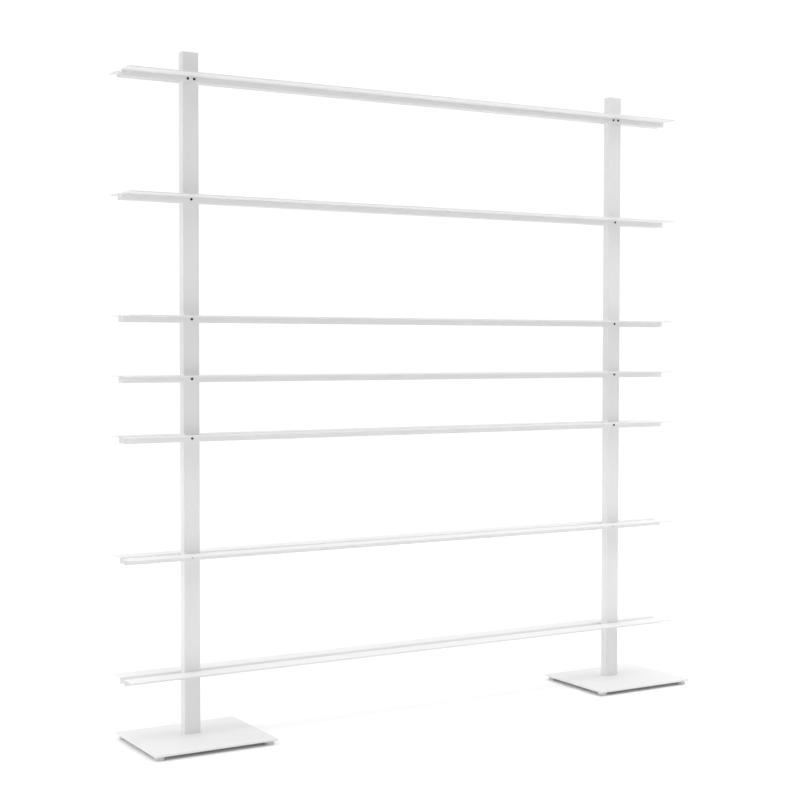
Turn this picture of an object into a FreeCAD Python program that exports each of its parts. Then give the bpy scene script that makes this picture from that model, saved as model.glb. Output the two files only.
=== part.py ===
import FreeCAD, Part
import math
import os

# A two-sided steel bookcase: two tube posts on base plates,
# and seven pairs of ledge rails bolted through them.
# X runs along the rails, +Y to the back, +Z up.
# The origin is on the floor, midway between the two base plates.

# posts
postWidth = 50.0
postDepth = 30.0
postWall = 2.0
postCornerRadius = 1.2
postHeight = 2000.0           # above the base plate, cap included
postSetback = 40.0            # middle of a post behind the middle of its base plate

# base plates
baseWidth = 380.0
baseDepth = 315.0
baseThickness = 6.0

# moulded glides under the base plates, each with a stem pressed into the plate from below
glideDiameter = 30.0
glideHeight = 12.0
glideInset = 5.0              # from the plate's edges to the disc
glideEase = 1.0               # chamfer of the lower rim
glideStemDiameter = 6.0
glideStemLength = 4.0
glideStemTip = 0.5            # left free above the stem

# foot block in the lower end of a post, and the two bolts that hold the post down on its plate
blockHeight = 25.0
blockChamfer = 1.5
baseBoltDiameter = 8.0
baseBoltSpacing = 24.0
baseBoltHead = 13.0           # across the flats
baseBoltHeadHeight = 5.3
baseBoltBite = 18.0           # length of thread in the block

# post caps: a lid with a ribbed skirt that pushes into the tube
lidThickness = 2.0
lidEase = 0.8                 # chamfer of the upper rim
skirtDepth = 14.0
skirtWall = 1.6
skirtGap = 0.3                # all round, inside the post
skirtChamfer = 1.0
ribThickness = 1.4
shortRibShares = (-0.25, 0.25)   # of the skirt's width, from its middle

# ledge rails, folded from sheet
railLength = 2000.0
railOverhang = 188.0          # from a post's outer side to the ends of the rails
ledgeReach = 64.0             # from the post's face to the nose
railHeight = 20.0             # from the top of the ledge to the bottom of the web
railThickness = 3.0
railBendRadius = 1.5          # inside the fold

# levels, counted from the floor up
lowestLedgeTop = 202.0
topLedgeDrop = 68.0           # from the top of the posts down to the top level's ledge
levelShares = (0.0, 0.2, 0.4, 0.5, 0.6, 0.8, 1.0)    # of the way from the lowest ledge to the top one

# through bolts of the rails: a screw from the front, a sleeve nut from the back
railScrewDiameter = 4.0
railScrewLength = 20.0
railScrewHead = 7.6
railScrewHeadHeight = 2.2
railScrewSocket = 2.5         # across the flats
railScrewSocketDepth = 1.3
sleeveDiameter = 5.5
sleeveLength = 24.0
sleeveHead = 9.0
sleeveHeadHeight = 1.8
sleeveBoreDepth = 20.0
topScrewSpacing = 20.0        # the top level has two bolts at each post

# the shanks are out of sight, so they and their holes are prisms,
# which keeps the meshes of so many bolts light
shankSides = 8
hexSides = 6

# clearances
holeClearance = 0.2           # round a shank in a plain hole
threadClearance = 0.05        # round a shank in a tapped hole, and round a pressed stem
overrun = 1.0                 # how far a cutting tool passes a face
edgeTolerance = 0.01          # for picking out an edge by its height

# places that follow from the sizes above
baseTop = glideHeight + baseThickness
tubeHeight = postHeight - lidThickness
tubeTop = baseTop + tubeHeight
ledgeRise = baseTop + postHeight - topLedgeDrop - lowestLedgeTop
postSpacing = railLength - 2 * railOverhang - postWidth
boreWidth = postWidth - 2 * postWall
boreDepth = postDepth - 2 * postWall
postFront = postSetback - postDepth / 2
postBack = postSetback + postDepth / 2
webFront = postFront - railThickness
webBack = postBack + railThickness
levels = range(1, len(levelShares) + 1)
sides = (("left", -postSpacing / 2), ("right", postSpacing / 2))
cornerShares = ((-0.5, -0.5), (0.5, -0.5), (0.5, 0.5), (-0.5, 0.5))
acrossX = FreeCAD.Vector(1, 0, 0)
acrossY = FreeCAD.Vector(0, 1, 0)
upward = FreeCAD.Vector(0, 0, 1)


# shared shapes

def place(shape, x, y, z):
    moved = shape.copy()
    moved.translate(FreeCAD.Vector(x, y, z))
    return moved


def turnedUp(shape, degrees):
    # turns +Z towards the front by 90 degrees, or towards the back by -90
    result = shape.copy()
    result.rotate(FreeCAD.Vector(0, 0, 0), acrossX, degrees)
    return result


def fuse(first, *others):
    result = first
    for other in others:
        result = result.fuse(other)
    return result.removeSplitter()


def polygonFace(points):
    return Part.Face(Part.makePolygon(points + points[:1]))


def roundedFace(corners):
    # corners are (point, radius)
    count = len(corners)
    runs = []
    for index, (point, radius) in enumerate(corners):
        toLast = (corners[index - 1][0] - point).normalize()
        toNext = (corners[(index + 1) % count][0] - point).normalize()
        half = toLast.getAngle(toNext) / 2
        inward = (toLast + toNext).normalize()
        setback = radius / math.tan(half)
        start = point + toLast * setback
        end = point + toNext * setback
        middle = point + inward * (radius / math.sin(half) - radius)
        runs.append((start, middle, end, radius))
    edges = []
    for index, (start, middle, end, radius) in enumerate(runs):
        if radius > 0:
            edges.append(Part.Arc(start, middle, end).toShape())
        nextStart = runs[(index + 1) % count][0]
        edges.append(Part.LineSegment(end, nextStart).toShape())
    return Part.Face(Part.Wire(edges))


# the bars and rods below stand on z = 0 with their middle on the Z axis

def roundedBar(width, depth, height, radius):
    corners = []
    for xShare, yShare in cornerShares:
        corners.append((FreeCAD.Vector(xShare * width, yShare * depth, 0), radius))
    return roundedFace(corners).extrude(upward * height)


def plainBar(width, depth, height):
    return place(Part.makeBox(width, depth, height), -width / 2, -depth / 2, 0)


def chamferedBar(width, depth, height, chamfer):
    bar = plainBar(width, depth, height)
    upright = [edge for edge in bar.Edges if edge.BoundBox.ZLength > edgeTolerance]
    return bar.makeChamfer(chamfer, upright)


def rod(diameter, length):
    return Part.makeCylinder(diameter / 2, length)


def prism(acrossFlats, sideCount, length):
    corner = acrossFlats / 2 / math.cos(math.pi / sideCount)
    points = []
    for turn in range(sideCount):
        angle = 2 * math.pi * turn / sideCount
        points.append(FreeCAD.Vector(corner * math.cos(angle), corner * math.sin(angle), 0))
    return polygonFace(points).extrude(upward * length)


# posts

def ledgeTop(level):
    return lowestLedgeTop + ledgeRise * levelShares[level - 1]


def boltPlaces(level, postX):
    # middles of a level's bolts at one post, as (x, z)
    z = ledgeTop(level) - railHeight / 2
    if level == levels[-1]:
        return [(postX - topScrewSpacing / 2, z), (postX + topScrewSpacing / 2, z)]
    return [(postX, z)]


def boltHole(diameter, x, yStart, yEnd, z):
    drill = prism(diameter + 2 * holeClearance, shankSides, yEnd - yStart)
    return place(turnedUp(drill, -90), x, yStart, z)


def makePost(postX):
    outer = roundedBar(postWidth, postDepth, tubeHeight, postCornerRadius)
    inner = plainBar(boreWidth, boreDepth, tubeHeight + 2 * overrun)
    tube = place(outer.cut(place(inner, 0, 0, -overrun)), postX, postSetback, baseTop)
    for level in levels:
        for x, z in boltPlaces(level, postX):
            front = boltHole(railScrewDiameter, x, postFront - overrun, postSetback, z)
            back = boltHole(sleeveDiameter, x, postSetback, postBack + overrun, z)
            tube = tube.cut(front).cut(back)
    return tube


def makeCap(postX):
    lid = roundedBar(postWidth, postDepth, lidThickness, postCornerRadius)
    rim = [edge for edge in lid.Edges if edge.BoundBox.ZMin > lidThickness - edgeTolerance]
    lid = lid.makeChamfer(lidEase, rim)
    width = boreWidth - 2 * skirtGap
    depth = boreDepth - 2 * skirtGap
    skirt = chamferedBar(width, depth, skirtDepth, skirtChamfer)
    skirt = skirt.cut(plainBar(width - 2 * skirtWall, depth - 2 * skirtWall, skirtDepth))
    longRib = plainBar(width - skirtWall, ribThickness, skirtDepth)
    shortRib = plainBar(ribThickness, depth - skirtWall, skirtDepth)
    shortRibs = [place(shortRib, share * width, 0, 0) for share in shortRibShares]
    plug = fuse(skirt, longRib, *shortRibs)
    return place(fuse(lid, place(plug, 0, 0, -skirtDepth)), postX, postSetback, tubeTop)


def baseBoltXs(postX):
    return (postX - baseBoltSpacing / 2, postX + baseBoltSpacing / 2)


def makeFootBlock(postX):
    block = place(chamferedBar(boreWidth, boreDepth, blockHeight, blockChamfer), postX, postSetback, baseTop)
    drill = prism(baseBoltDiameter + 2 * threadClearance, shankSides, blockHeight + 2 * overrun)
    for x in baseBoltXs(postX):
        block = block.cut(place(drill, x, postSetback, baseTop - overrun))
    return block


# base plates and what is fixed under them

def glidePlaces(postX):
    inset = glideInset + glideDiameter / 2
    width = baseWidth - 2 * inset
    depth = baseDepth - 2 * inset
    return [(postX + xShare * width, yShare * depth) for xShare, yShare in cornerShares]


def makeBasePlate(postX):
    plate = place(plainBar(baseWidth, baseDepth, baseThickness), postX, 0, glideHeight)
    drill = prism(baseBoltDiameter + 2 * holeClearance, shankSides, baseThickness + 2 * overrun)
    for x in baseBoltXs(postX):
        plate = plate.cut(place(drill, x, postSetback, glideHeight - overrun))
    socket = prism(glideStemDiameter + 2 * threadClearance, shankSides, glideStemLength + glideStemTip)
    for x, y in glidePlaces(postX):
        plate = plate.cut(place(socket, x, y, glideHeight))
    return plate


def makeBaseBolts(postX):
    # hexagon heads down, under the plate
    head = prism(baseBoltHead, hexSides, baseBoltHeadHeight)
    shank = prism(baseBoltDiameter, shankSides, baseThickness + baseBoltBite)
    bolt = fuse(place(head, 0, 0, -baseBoltHeadHeight), shank)
    return Part.makeCompound([place(bolt, x, postSetback, glideHeight) for x in baseBoltXs(postX)])


def makeGlides(postX):
    disc = rod(glideDiameter, glideHeight)
    rim = [edge for edge in disc.Edges if edge.BoundBox.ZMax < edgeTolerance]
    stem = prism(glideStemDiameter, shankSides, glideStemLength)
    glide = fuse(disc.makeChamfer(glideEase, rim), place(stem, 0, 0, glideHeight))
    return Part.makeCompound([place(glide, x, y, 0) for x, y in glidePlaces(postX)])


# rails

def makeFrontBlank(level):
    # the folded section, from the nose over the fold to the bottom of the web and back
    start = -railLength / 2
    nose = postFront - ledgeReach
    top = ledgeTop(level)
    underside = top - railThickness
    bottom = top - railHeight
    section = (
        (nose, top, 0),
        (postFront, top, railBendRadius + railThickness),
        (postFront, bottom, 0),
        (webFront, bottom, 0),
        (webFront, underside, railBendRadius),
        (nose, underside, 0))
    corners = [(FreeCAD.Vector(start, y, z), radius) for y, z, radius in section]
    return roundedFace(corners).extrude(acrossX * railLength)


def backward(shape):
    # the same shape facing the back, mirrored about the middle of the posts
    return shape.mirror(FreeCAD.Vector(0, postSetback, 0), acrossY)


def boredRail(blank, level, diameter, webStart):
    rail = blank
    for side, postX in sides:
        for x, z in boltPlaces(level, postX):
            hole = boltHole(diameter, x, webStart - overrun, webStart + railThickness + overrun, z)
            rail = rail.cut(hole)
    return rail


# through bolts

def makeRailScrew():
    # seat of the head at z = 0, shank down
    shank = prism(railScrewDiameter, shankSides, railScrewLength)
    screw = fuse(rod(railScrewHead, railScrewHeadHeight), place(shank, 0, 0, -railScrewLength))
    socket = prism(railScrewSocket, hexSides, railScrewSocketDepth + overrun)
    return screw.cut(place(socket, 0, 0, railScrewHeadHeight - railScrewSocketDepth))


def makeSleeveNut():
    # seat of the head at z = 0, open end of the sleeve down
    sleeve = prism(sleeveDiameter, shankSides, sleeveLength)
    nut = fuse(rod(sleeveHead, sleeveHeadHeight), place(sleeve, 0, 0, -sleeveLength))
    bore = prism(railScrewDiameter + 2 * threadClearance, shankSides, sleeveBoreDepth + overrun)
    return nut.cut(place(bore, 0, 0, -sleeveLength - overrun))


def atBolts(piece, level, y):
    copies = []
    for side, postX in sides:
        for x, z in boltPlaces(level, postX):
            copies.append(place(piece, x, y, z))
    return Part.makeCompound(copies)


def export(shape, node):
    shape.exportStep("parts/" + node + ".step")


os.makedirs("parts", exist_ok=True)

for side, postX in sides:
    export(makePost(postX), side + "_post")
    export(makeCap(postX), side + "_post_cap")
    export(makeFootBlock(postX), side + "_foot_block")
    export(makeBasePlate(postX), side + "_base_plate")
    export(makeBaseBolts(postX), side + "_base_bolts")
    export(makeGlides(postX), side + "_glides")

railScrew = turnedUp(makeRailScrew(), 90)
sleeveNut = turnedUp(makeSleeveNut(), -90)
for level in levels:
    blank = makeFrontBlank(level)
    export(boredRail(blank, level, railScrewDiameter, webFront), "front_rail_" + str(level))
    export(boredRail(backward(blank), level, sleeveDiameter, postBack), "back_rail_" + str(level))
    export(atBolts(railScrew, level, webFront), "rail_screws_" + str(level))
    export(atBolts(sleeveNut, level, webBack), "rail_sleeve_nuts_" + str(level))
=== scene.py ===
import math

import bmesh
import bpy
from bmesh.types import BMEdge, BMVert
from mathutils import Euler, Matrix, Vector


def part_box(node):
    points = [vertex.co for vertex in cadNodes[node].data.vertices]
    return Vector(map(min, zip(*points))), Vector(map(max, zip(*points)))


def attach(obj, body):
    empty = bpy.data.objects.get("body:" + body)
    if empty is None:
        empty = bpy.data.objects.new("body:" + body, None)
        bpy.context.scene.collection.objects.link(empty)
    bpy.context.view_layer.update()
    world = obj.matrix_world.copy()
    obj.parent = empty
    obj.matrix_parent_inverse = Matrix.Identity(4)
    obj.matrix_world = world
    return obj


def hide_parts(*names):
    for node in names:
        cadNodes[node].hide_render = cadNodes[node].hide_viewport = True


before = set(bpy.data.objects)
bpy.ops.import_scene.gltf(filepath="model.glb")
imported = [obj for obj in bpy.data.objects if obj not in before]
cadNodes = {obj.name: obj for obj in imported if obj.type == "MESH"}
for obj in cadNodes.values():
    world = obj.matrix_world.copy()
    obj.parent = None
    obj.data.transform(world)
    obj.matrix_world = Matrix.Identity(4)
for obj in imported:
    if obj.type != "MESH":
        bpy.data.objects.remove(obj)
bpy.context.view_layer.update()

# A white steel bookcase in a pale studio. Lengths are in metres.
# The posts and the foot blocks are the CAD nodes, and every other node is modelled again here.

levels = range(1, 8)                 # of the ledges, from the floor up
sides = ("left", "right")

closeBy = 0.0001                     # how near an edge lies to where it is looked for
alongAxis = 0.999                    # least share of an edge's length that runs along an axis
squareToAxis = 0.9995                # least part of a face's normal that points along an axis
sharpFrom = 60                       # an edge is eased where its faces turn by more degrees
hexSides = 6
colourDetail, bumpDetail = 3.0, 1.0  # octaves of the noises behind colours and behind bumps


class Value:
    # a socket that a shader reads; + - * on it add Math nodes
    def __init__(self, paint, socket):
        self.paint = paint
        self.socket = socket

    def __add__(self, other):
        return self.paint.maths("ADD", self, other)

    __radd__ = __add__

    def __sub__(self, other):
        return self.paint.maths("SUBTRACT", self, other)

    def __rsub__(self, other):
        return self.paint.maths("SUBTRACT", other, self)

    def __mul__(self, other):
        return self.paint.maths("MULTIPLY", self, other)

    __rmul__ = __mul__


class Paint:
    # one node tree, of a material or of the world
    def __init__(self, tree):
        self.tree = tree
        self.tree.nodes.clear()

    def node(self, kind, settings=None, inputs=None, output=0):
        made = self.tree.nodes.new("ShaderNode" + kind)
        for name, value in (settings or {}).items():
            setattr(made, name, value)
        for name, value in (inputs or {}).items():
            if isinstance(value, Value):
                self.tree.links.new(value.socket, made.inputs[name])
            else:
                made.inputs[name].default_value = value
        return Value(self, made.outputs[output]) if made.outputs else None

    def maths(self, operation, first, second):
        return self.node("Math", {"operation": operation}, {0: first, 1: second})

    def noise(self, coords, scale, detail, stretch=(1, 1, 1)):
        placed = self.node("Mapping", None, {"Vector": coords, "Scale": stretch})
        return self.node("TexNoise", None, {"Vector": placed, "Scale": scale, "Detail": detail})

    def ramp(self, place, stops, strengths):
        # straight lines between the strengths that stand at the stops
        total = strengths[0]
        for low, high, first, second in zip(stops, stops[1:], strengths, strengths[1:]):
            total = total + self.node("MapRange", None, {
                "Value": place, "From Min": low, "From Max": high,
                "To Min": 0.0, "To Max": second - first})
        return total

    def between(self, mask, first, second):
        # a colour that goes from first to second as mask goes from 0 to 1
        # a Mix node's colours are its sockets 6 and 7, and their mix is output 2
        inputs = {"Factor": mask, 6: (*first, 1), 7: (*second, 1)}
        return self.node("Mix", {"data_type": "RGBA"}, inputs, 2)

    def bump(self, height):
        # height is in metres
        return self.node("Bump", None, {"Strength": 1.0, "Distance": 1.0, "Height": height})

    def surface(self, inputs):
        shader = self.node("BsdfPrincipled", None, inputs)
        self.node("OutputMaterial", None, {"Surface": shader})


def newPaint(name):
    material = bpy.data.materials.new(name)
    material.use_nodes = True
    return material, Paint(material.node_tree)


# white powder coat of the posts, rails and base plates
powderCoat = {
    "bright": (0.815, 0.815, 0.812), "dull": (0.785, 0.786, 0.785),
    "peelScale": 620, "peelDepth": 0.000024,         # orange peel, about 1.6 mm from crest to crest
    "waveScale": 90, "waveDepth": 0.00004,           # slower flow of the coat, about 11 mm
    "cloudScale": 3.5, "roughLow": 0.42, "roughSpread": 0.12,
}


def makePowderCoat(name):
    kit = powderCoat
    material, paint = newPaint(name)
    coords = paint.node("TexCoord", output="Object")
    cloud = paint.noise(coords, kit["cloudScale"], colourDetail)
    peel = paint.noise(coords, kit["peelScale"], bumpDetail)
    wave = paint.noise(coords, kit["waveScale"], bumpDetail)
    paint.surface({
        "Base Color": paint.between(cloud, kit["bright"], kit["dull"]),
        "Roughness": cloud * kit["roughSpread"] + peel * kit["roughSpread"] + kit["roughLow"],
        "Normal": paint.bump(peel * kit["peelDepth"] + wave * kit["waveDepth"])})
    return material


# black passivated steel of the screws and sleeve nuts
blackFinish = {
    "deep": (0.012, 0.012, 0.013), "worn": (0.035, 0.035, 0.036), "mottleScale": 900,
    "grainScale": 4000, "grainDepth": 0.000008, "roughLow": 0.3, "roughSpread": 0.25, "metal": 0.5,
}


def makeBlackFinish(name):
    kit = blackFinish
    material, paint = newPaint(name)
    coords = paint.node("TexCoord", output="Object")
    mottle = paint.noise(coords, kit["mottleScale"], colourDetail)
    grain = paint.noise(coords, kit["grainScale"], bumpDetail)
    paint.surface({
        "Base Color": paint.between(mottle, kit["deep"], kit["worn"]),
        "Roughness": mottle * kit["roughSpread"] + kit["roughLow"],
        "Metallic": kit["metal"],
        "Normal": paint.bump(grain * kit["grainDepth"])})
    return material


# moulded nylon of the caps and glides; a share below 1 darkens both of its tones. The glides' share
# below 1 is painted shade: it darkens them as the shade under the base plates would
nylon = {
    "light": (0.80, 0.80, 0.785), "dark": (0.74, 0.74, 0.725), "capShare": 1.0, "glideShadeShare": 0.76,
    "flowScale": 60, "flowStretch": (1, 1, 0.3), "roughLow": 0.42, "roughSpread": 0.14,
    "grainScale": 1500, "grainDetail": 2.0, "grainDepth": 0.00002,
}


def makeNylon(name, share):
    kit = nylon
    material, paint = newPaint(name)
    coords = paint.node("TexCoord", output="Object")
    flow = paint.noise(coords, kit["flowScale"], colourDetail, kit["flowStretch"])
    grain = paint.noise(coords, kit["grainScale"], kit["grainDetail"])
    light = [share * tone for tone in kit["light"]]
    dark = [share * tone for tone in kit["dark"]]
    paint.surface({
        "Base Color": paint.between(flow, light, dark),
        "Roughness": flow * kit["roughSpread"] + kit["roughLow"],
        "Normal": paint.bump(grain * kit["grainDepth"])})
    return material


# bare metals: zinc on the base bolts, sawn bar in the foot blocks
metals = {
    "zinc": {
        "bright": (0.66, 0.66, 0.64), "dull": (0.5, 0.51, 0.52), "scale": 350,
        "stretch": (1, 1, 1), "roughLow": 0.25, "roughSpread": 0.25, "grainDepth": 0.00001},
    "sawnSteel": {
        "bright": (0.5, 0.49, 0.48), "dull": (0.3, 0.3, 0.31), "scale": 500,
        "stretch": (0.1, 1, 3), "roughLow": 0.4, "roughSpread": 0.3, "grainDepth": 0.00003},
}


def makeMetal(name):
    kit = metals[name]
    material, paint = newPaint(name)
    coords = paint.node("TexCoord", output="Object")
    grain = paint.noise(coords, kit["scale"], colourDetail, kit["stretch"])
    paint.surface({
        "Base Color": paint.between(grain, kit["bright"], kit["dull"]),
        "Roughness": grain * kit["roughSpread"] + kit["roughLow"],
        "Metallic": 1.0,
        "Normal": paint.bump(grain * kit["grainDepth"])})
    return material


finishes = {
    "post_coat": makePowderCoat("postCoat"),
    "rail_coat": makePowderCoat("railCoat"),
    "base_coat": makePowderCoat("baseCoat"),
    "cap_plastic": makeNylon("capNylon", nylon["capShare"]),
    # the glides' nylon is darkened by painted shade, standing in for the shade under the base
    # plates
    "glide_plastic": makeNylon("glideNylonPaintedShade", nylon["glideShadeShare"]),
    "black_fastener": makeBlackFinish("blackFinish"),
    "zinc_bolt": makeMetal("zinc"),
    "bare_steel": makeMetal("sawnSteel"),
}
print("finishes made:", len(finishes))


def onlyOf(kind, items):
    return [item for item in items if isinstance(item, kind)]


def bevelEdges(bm, edges, radius, segments):
    bmesh.ops.bevel(bm, geom=edges, offset=radius, offset_type="OFFSET", segments=segments,
                    profile=0.5, affect="EDGES", clamp_overlap=True, material=-1)


def sharpEdges(bm):
    least = math.radians(sharpFrom)
    return [edge for edge in bm.edges if edge.is_manifold and edge.calc_face_angle() > least]


def edgesAlong(bm, axis):
    # edges that run along one axis: 0, 1 or 2
    found = []
    for edge in bm.edges:
        run = edge.verts[1].co - edge.verts[0].co
        if abs(run[axis]) > alongAxis * run.length:
            found.append(edge)
    return found


def block(bm, low, high):
    # a rectangular block from corner to corner; returns its vertices
    made = bmesh.ops.create_cube(bm, size=1.0)
    bmesh.ops.scale(bm, vec=high - low, verts=made["verts"])
    bmesh.ops.translate(bm, vec=(low + high) / 2, verts=made["verts"])
    return made["verts"]


def addToScene(name, data):
    made = bpy.data.objects.new(name, data)
    bpy.context.scene.collection.objects.link(made)
    return made


def addMesh(bm, name, material):
    mesh = bpy.data.meshes.new(name)
    bm.to_mesh(mesh)
    bm.free()
    mesh.materials.append(material)
    return addToScene(name, mesh)


def finishPiece(bm, name, slot, node):
    # faces square to an axis are shaded flat, curved and slanting ones smooth
    bmesh.ops.recalc_face_normals(bm, faces=bm.faces)
    for face in bm.faces:
        face.smooth = max(abs(part) for part in face.normal) < squareToAxis
    piece = addMesh(bm, name, finishes[slot])
    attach(piece, "root")
    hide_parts(node)


def extrudeLoop(bm, edges):
    # the new loop still lies on the old one
    made = bmesh.ops.extrude_edge_only(bm, edges=edges)["geom"]
    verts = onlyOf(BMVert, made)
    edges = [edge for edge in onlyOf(BMEdge, made) if all(vert in verts for vert in edge.verts)]
    return {"verts": verts, "edges": edges}


def ringsUp(bm, loop, rings):
    # carries a round loop through (radius, height above it) steps, and returns the last loop
    centre = sum((vert.co for vert in loop["verts"]), Vector()) / len(loop["verts"])
    for radius, height in rings:
        loop = extrudeLoop(bm, loop["edges"])
        first = loop["verts"][0].co
        grow = radius / (first - centre).xy.length
        rise = centre.z + height - first.z
        bmesh.ops.scale(bm, vec=(grow, grow, 1), verts=loop["verts"],
                        space=Matrix.Translation(-centre))
        bmesh.ops.translate(bm, vec=(0, 0, rise), verts=loop["verts"])
    return loop


def roundLoop(bm, radius, segments, height=0.0):
    made = bmesh.ops.create_circle(bm, radius=radius, segments=segments,
                                   matrix=Matrix.Translation((0, 0, height)))
    edges = {edge for vert in made["verts"] for edge in vert.link_edges}
    return {"verts": made["verts"], "edges": list(edges)}


def arcRings(radius, height, ease, steps, rising):
    # quarter round of a rim: rising from the side onto the flat, or else from the flat to the side
    rings = []
    for step in range(steps + 1):
        turn = math.pi / 2 * step / steps
        if rising:
            rings.append((radius - ease + ease * math.cos(turn),
                          height - ease + ease * math.sin(turn)))
        else:
            rings.append((radius - ease + ease * math.sin(turn),
                          height + ease - ease * math.cos(turn)))
    return rings


def capLoop(bm, loop):
    bmesh.ops.contextual_create(bm, geom=loop["edges"])


def copiesAt(bm, places, facing):
    # moves what is in bm to the first place and copies it to the others
    source = bm.verts[:] + bm.edges[:] + bm.faces[:]
    for place in places[1:]:
        made = bmesh.ops.duplicate(bm, geom=source)["geom"]
        bmesh.ops.transform(bm, matrix=Matrix.Translation(place) @ facing,
                            verts=onlyOf(BMVert, made))
    bmesh.ops.transform(bm, matrix=Matrix.Translation(places[0]) @ facing,
                        verts=onlyOf(BMVert, source))


# ledge rails: an L folded from sheet, its ledge on top
rail = {
    "thickness": 0.003, "bendInside": 0.0015, "bendSegments": 8,
    "edgeEase": 0.0004, "easeSegments": 2,
}


def makeRail(name, node, facingFront):
    kit = rail
    low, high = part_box(node)
    nose, web = (low.y, high.y) if facingFront else (high.y, low.y)
    webInside = web - kit["thickness"] if facingFront else web + kit["thickness"]
    under = high.z - kit["thickness"]
    section = ((nose, high.z), (web, high.z), (web, low.z),
               (webInside, low.z), (webInside, under), (nose, under))
    bm = bmesh.new()
    verts = [bmesh.ops.create_vert(bm, co=(low.x, y, z))["vert"][0] for y, z in section]
    edges = [bmesh.ops.contextual_create(bm, geom=[verts[at - 1], verts[at]])["edges"][0]
             for at in range(len(verts))]
    face = bmesh.ops.edgeloop_fill(bm, edges=edges)["faces"]
    made = bmesh.ops.extrude_face_region(bm, geom=face)["geom"]
    bmesh.ops.translate(bm, vec=(high.x - low.x, 0, 0), verts=onlyOf(BMVert, made))
    bendOutside = kit["bendInside"] + kit["thickness"]
    for y, z, radius in ((web, high.z, bendOutside), (webInside, under, kit["bendInside"])):
        fold = [edge for edge in edgesAlong(bm, 0)
                if (edge.verts[0].co.yz - Vector((y, z))).length < closeBy]
        bevelEdges(bm, fold, radius, kit["bendSegments"])
    bevelEdges(bm, sharpEdges(bm), kit["edgeEase"], kit["easeSegments"])
    finishPiece(bm, name, "rail_coat", node)


for level in levels:
    makeRail(f"frontRail{level}", f"front_rail_{level}", True)
    makeRail(f"backRail{level}", f"back_rail_{level}", False)
print("rails made:", 2 * len(levels))


# bolts through the posts: button-head screws in front, flat sleeve nuts behind
bolt = {"shankTip": 0.0004, "topSpacing": 0.02}      # the top level has two bolts at each post
screw = {
    "height": 0.0022, "shank": 0.004, "lip": 0.0004, "flatRadius": 0.0021, "domeSteps": 5,
    "socket": 0.0025, "socketDepth": 0.0013, "drillDepth": 0.0003, "aroundSide": 6,
}
sleeveNut = {
    "height": 0.0018, "shank": 0.0055, "ease": 0.0006, "easeSteps": 3,
    "socket": 0.003, "socketDepth": 0.0012, "drillDepth": 0.0003, "aroundSide": 6,
}


def hexCorner(acrossFlats):
    return acrossFlats / 2 / math.cos(math.pi / hexSides)


def hexLoop(bm, acrossFlats, aroundSide, height):
    # a hexagon with points added along its sides, so that it can be bridged to a round loop
    loop = roundLoop(bm, hexCorner(acrossFlats), hexSides, height)
    made = bmesh.ops.subdivide_edges(bm, edges=loop["edges"], cuts=aroundSide - 1)["geom_split"]
    return {"verts": onlyOf(BMVert, made), "edges": onlyOf(BMEdge, made)}


def openSocket(bm, rim, loop, kit):
    # hexagonal socket below the flat of a head, with a shallow drilled cone at its bottom
    bmesh.ops.bridge_loops(bm, edges=rim["edges"] + loop["edges"])
    bottom = extrudeLoop(bm, loop["edges"])
    bmesh.ops.translate(bm, vec=(0, 0, -kit["socketDepth"]), verts=bottom["verts"])
    floor = bmesh.ops.contextual_create(bm, geom=bottom["edges"])["faces"]
    cone = bmesh.ops.poke(bm, faces=floor)["verts"]
    bmesh.ops.translate(bm, vec=(0, 0, -kit["drillDepth"]), verts=cone)


def domeRings(radius):
    # side and dome of a button head, up to the flat round its socket
    kit = screw
    rings = [(radius, kit["lip"])]
    for step in range(1, kit["domeSteps"] + 1):
        turn = math.pi / 2 * step / kit["domeSteps"]
        across = radius - (radius - kit["flatRadius"]) * (1 - math.cos(turn))
        rings.append((across, kit["lip"] + (kit["height"] - kit["lip"]) * math.sin(turn)))
    return rings


def flatRings(radius):
    # side and eased rim of a flat head
    kit = sleeveNut
    return arcRings(radius, kit["height"], kit["ease"], kit["easeSteps"], True)


def boltXs(level):
    xs = []
    half = bolt["topSpacing"] / 2
    for side in sides:
        low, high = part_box(side + "_post")
        middle = (low.x + high.x) / 2
        xs += [middle - half, middle + half] if level == levels[-1] else [middle]
    return xs


def makeBolts(level, name, node, kit, rings, facingFront):
    low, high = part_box(node)
    radius = (high.z - low.z) / 2
    bm = bmesh.new()
    socket = hexLoop(bm, kit["socket"], kit["aroundSide"], kit["height"])
    start = roundLoop(bm, radius, hexSides * kit["aroundSide"])
    openSocket(bm, ringsUp(bm, start, rings(radius)), socket, kit)
    shank = kit["shank"] / 2
    length = high.y - low.y - kit["height"] - bolt["shankTip"]
    capLoop(bm, ringsUp(bm, start, [(shank, 0.0), (shank, -length)]))
    seat = low.y + kit["height"] if facingFront else high.y - kit["height"]
    places = [Vector((x, seat, (low.z + high.z) / 2)) for x in boltXs(level)]
    turn = math.pi / 2 if facingFront else -math.pi / 2
    copiesAt(bm, places, Matrix.Rotation(turn, 4, "X"))
    finishPiece(bm, name, "black_fastener", node)


for level in levels:
    makeBolts(level, f"railScrews{level}", f"rail_screws_{level}", screw, domeRings, True)
    makeBolts(level, f"railSleeveNuts{level}", f"rail_sleeve_nuts_{level}",
              sleeveNut, flatRings, False)
print("screws and sleeve nuts made for", len(levels), "levels")


# base plates, and the glides and bolts under them
plate = {"cornerRadius": 0.0008, "cornerSegments": 3, "edgeEase": 0.0005, "easeSegments": 2}
glide = {
    "height": 0.012, "radius": 0.015, "rimEase": 0.0016, "rimSteps": 4,
    "topEase": 0.0004, "topSteps": 2, "around": 48, "stemRadius": 0.003,
}
baseBolt = {
    "spacing": 0.024, "across": 0.013, "headHeight": 0.0053, "shankRadius": 0.004,
    "cornerTrim": 0.0006,
}


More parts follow.
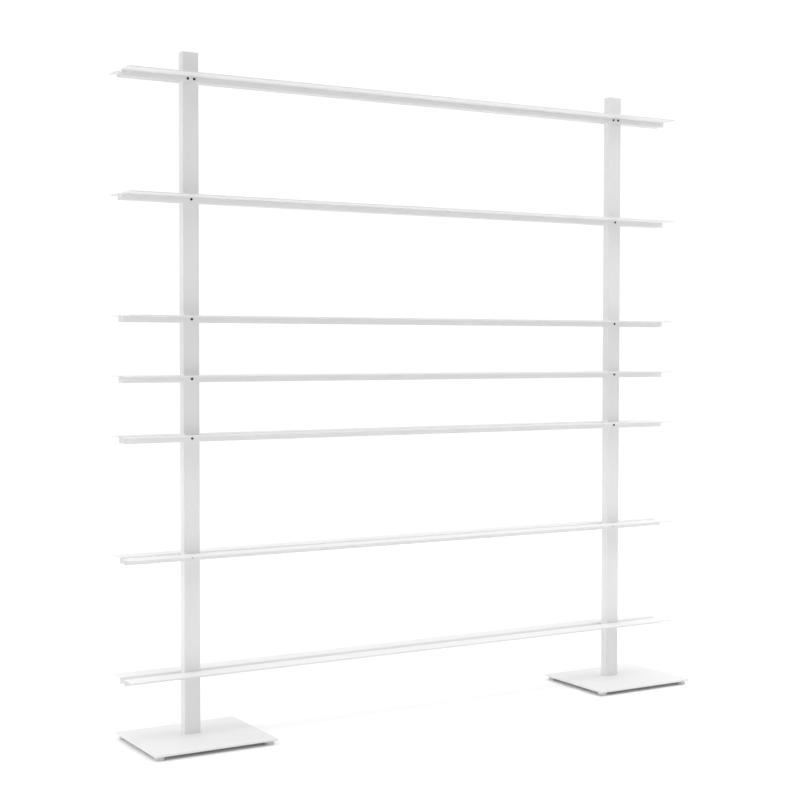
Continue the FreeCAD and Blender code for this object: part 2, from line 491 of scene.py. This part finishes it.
def makePlate(side):
    kit = plate
    low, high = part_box(side + "_base_plate")
    bm = bmesh.new()
    block(bm, low, high)
    bevelEdges(bm, edgesAlong(bm, 2), kit["cornerRadius"], kit["cornerSegments"])
    bevelEdges(bm, sharpEdges(bm), kit["edgeEase"], kit["easeSegments"])
    finishPiece(bm, side + "BasePlate", "base_coat", side + "_base_plate")


def makeGlides(side):
    kit = glide
    low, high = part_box(side + "_glides")
    bm = bmesh.new()
    start = roundLoop(bm, kit["radius"] - kit["rimEase"], kit["around"])
    capLoop(bm, start)
    lower = arcRings(kit["radius"], 0.0, kit["rimEase"], kit["rimSteps"], False)[1:]
    upper = arcRings(kit["radius"], kit["height"], kit["topEase"], kit["topSteps"], True)
    stem = [(kit["stemRadius"], kit["height"]), (kit["stemRadius"], high.z - low.z)]
    capLoop(bm, ringsUp(bm, start, lower + upper + stem))
    places = [Vector((x, y, low.z))
              for x in (low.x + kit["radius"], high.x - kit["radius"])
              for y in (low.y + kit["radius"], high.y - kit["radius"])]
    copiesAt(bm, places, Matrix.Identity(4))
    finishPiece(bm, side + "Glides", "glide_plastic", side + "_glides")


def makeBaseBolts(side):
    # head down, with a shank that goes up into the foot block
    kit = baseBolt
    low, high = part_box(side + "_base_bolts")
    head, shank, trim = kit["headHeight"], kit["shankRadius"], kit["cornerTrim"]
    corner = hexCorner(kit["across"])
    bm = bmesh.new()
    start = roundLoop(bm, corner, hexSides, head)
    capLoop(bm, ringsUp(bm, start, [(shank, 0.0), (shank, high.z - low.z - head)]))
    capLoop(bm, ringsUp(bm, start, [(corner, -head + trim), (corner - trim, -head)]))
    middle = (low.x + high.x) / 2
    places = [Vector((x, (low.y + high.y) / 2, low.z))
              for x in (middle - kit["spacing"] / 2, middle + kit["spacing"] / 2)]
    copiesAt(bm, places, Matrix.Identity(4))
    finishPiece(bm, side + "BaseBolts", "zinc_bolt", side + "_base_bolts")


# moulded caps in the tops of the posts
cap = {
    "lid": 0.002, "cornerRadius": 0.0012, "cornerSegments": 6, "rimEase": 0.0008,
    "easeSegments": 4, "skirtInset": 0.0023, "skirtWall": 0.0016, "ribThickness": 0.0014,
    "shortRibShares": (-0.25, 0.25),     # from the middle, as shares of the skirt's width
}


def makeCap(side):
    kit = cap
    low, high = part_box(side + "_post_cap")
    bm = bmesh.new()
    lidLow = Vector((low.x, low.y, high.z - kit["lid"]))
    block(bm, lidLow, high)
    bevelEdges(bm, edgesAlong(bm, 2), kit["cornerRadius"], kit["cornerSegments"])
    rim = [edge for edge in sharpEdges(bm)
           if min(vert.co.z for vert in edge.verts) > high.z - closeBy]
    bevelEdges(bm, rim, kit["rimEase"], kit["easeSegments"])
    inset = Vector((kit["skirtInset"], kit["skirtInset"], 0))
    addSkirt(bm, low + inset, Vector((high.x, high.y, lidLow.z)) - inset)
    finishPiece(bm, side + "PostCap", "cap_plastic", side + "_post_cap")


def addSkirt(bm, low, high):
    # four walls under the lid, one long rib across them and two short ones
    kit = cap
    faces = {face for vert in block(bm, low, high) for face in vert.link_faces}
    ends = [face for face in faces if abs(face.normal.z) > squareToAxis]
    bmesh.ops.delete(bm, geom=ends, context="FACES_ONLY")
    walls = [face for face in faces if face.is_valid]
    bmesh.ops.solidify(bm, geom=walls, thickness=kit["skirtWall"])
    middle = (low + high) / 2
    half = kit["ribThickness"] / 2
    wall = kit["skirtWall"] / 2
    block(bm, Vector((low.x + wall, middle.y - half, low.z)),
          Vector((high.x - wall, middle.y + half, high.z)))
    for share in kit["shortRibShares"]:
        x = middle.x + share * (high.x - low.x)
        block(bm, Vector((x - half, low.y + wall, low.z)),
              Vector((x + half, high.y - wall, high.z)))


for side in sides:
    makePlate(side)
    makeGlides(side)
    makeBaseBolts(side)
    makeCap(side)
    for node, slot in ((side + "_post", "post_coat"), (side + "_foot_block", "bare_steel")):
        cadNodes[node].data.materials.clear()
        cadNodes[node].data.materials.append(finishes[slot])
print("bases, glides, caps and posts dressed")


# a pale room, brightest overhead and dimmest behind the camera, with two soft boxes
studio = {
    "floorWide": 24.0, "floorDeep": 12.0, "floorTone": 0.97,
    "heights": (0.0, 0.4, 0.8, 1.0),     # sines of the heights where the strengths below stand
    "front": (0.86, 0.14, 0.90, 1.74), "back": (0.55, 0.98, 1.36, 1.74),
    "left": (0.90, 1.52, 0.88, 1.74), "right": (0.48, 1.34, 1.54, 1.74),
    "seen": 1.05,                        # the white that the camera sees behind the floor
}
softBoxes = (
    {"name": "highBoxRight", "place": (2.4, -1.5, 3.0), "target": (0.3, 0.0, 0.8),
     "size": 2.0, "power": 19.0},
    {"name": "sideBoxLeft", "place": (-3.8, 1.2, 1.4), "target": (-0.8, 0.0, 1.2),
     "size": 2.0, "power": 8.0},
)
photoCamera = {
    "place": (-2.5633, -4.1333, 1.1612), "pitchDown": 1.998, "yaw": 30.9, "roll": 0.074,
    "focalPixels": 1527.8, "framePixels": 800, "sensor": 36.0,       # angles are in degrees
}


def makeFloor():
    # the grid starts one metre wide
    bm = bmesh.new()
    made = bmesh.ops.create_grid(bm, x_segments=1, y_segments=1, size=0.5)
    bmesh.ops.scale(bm, vec=(studio["floorWide"], studio["floorDeep"], 1.0), verts=made["verts"])
    material, paint = newPaint("floorPaint")
    tone = studio["floorTone"]
    shader = paint.node("BsdfDiffuse", None, {"Color": (tone, tone, tone, 1)})
    paint.node("OutputMaterial", None, {"Surface": shader})
    addMesh(bm, "studioFloor", material)


def makeSky():
    world = bpy.data.worlds.new("studioSky")
    bpy.context.scene.world = world
    world.use_nodes = True
    paint = Paint(world.node_tree)
    direction = paint.node("TexCoord", output="Generated")
    x, y, z = (paint.node("SeparateXYZ", None, {"Vector": direction}, part) for part in "XYZ")
    notZero = 0.0001                     # straight up there is nothing to divide by
    around = paint.maths("MAXIMUM", x * x + y * y, notZero)
    strength = 0.0
    for side, axis, sign in (("front", y, -1), ("back", y, 1), ("left", x, -1), ("right", x, 1)):
        facing = paint.maths("MAXIMUM", axis * sign, 0.0)
        share = paint.maths("DIVIDE", facing * facing, around)
        strength = paint.ramp(z, studio["heights"], studio[side]) * share + strength
    above = paint.maths("GREATER_THAN", z, 0.0)
    seen = paint.node("LightPath", output="Is Camera Ray")
    strength = strength * above * (1.0 - seen) + seen * studio["seen"]
    shader = paint.node("Background", None, {"Color": (1, 1, 1, 1), "Strength": strength})
    paint.node("OutputWorld", None, {"Surface": shader})


def makeSoftBox(kit):
    light = bpy.data.lights.new(kit["name"], "AREA")
    light.shape = "SQUARE"
    light.size = kit["size"]
    light.energy = kit["power"]
    lamp = addToScene(kit["name"], light)
    lamp.visible_camera = False
    lamp.location = kit["place"]
    aim = Vector(kit["target"]) - lamp.location
    lamp.rotation_euler = aim.to_track_quat("-Z", "Y").to_euler()


def makeCamera():
    kit = photoCamera
    data = bpy.data.cameras.new("photoCamera")
    data.sensor_width = kit["sensor"]
    data.lens = kit["focalPixels"] * kit["sensor"] / kit["framePixels"]
    camera = addToScene("photoCamera", data)
    camera.location = kit["place"]
    # an unturned camera looks straight down, so 90 degrees bring it level
    aim = Euler((math.radians(90 - kit["pitchDown"]), 0, math.radians(-kit["yaw"]))).to_matrix()
    roll = Matrix.Rotation(math.radians(kit["roll"]), 3, "Z")
    camera.rotation_euler = (aim @ roll).to_euler()
    bpy.context.scene.camera = camera


makeFloor()
makeSky()
for softBox in softBoxes:
    makeSoftBox(softBox)
makeCamera()
bpy.context.scene.view_settings.view_transform = "Standard"
print("studio ready")
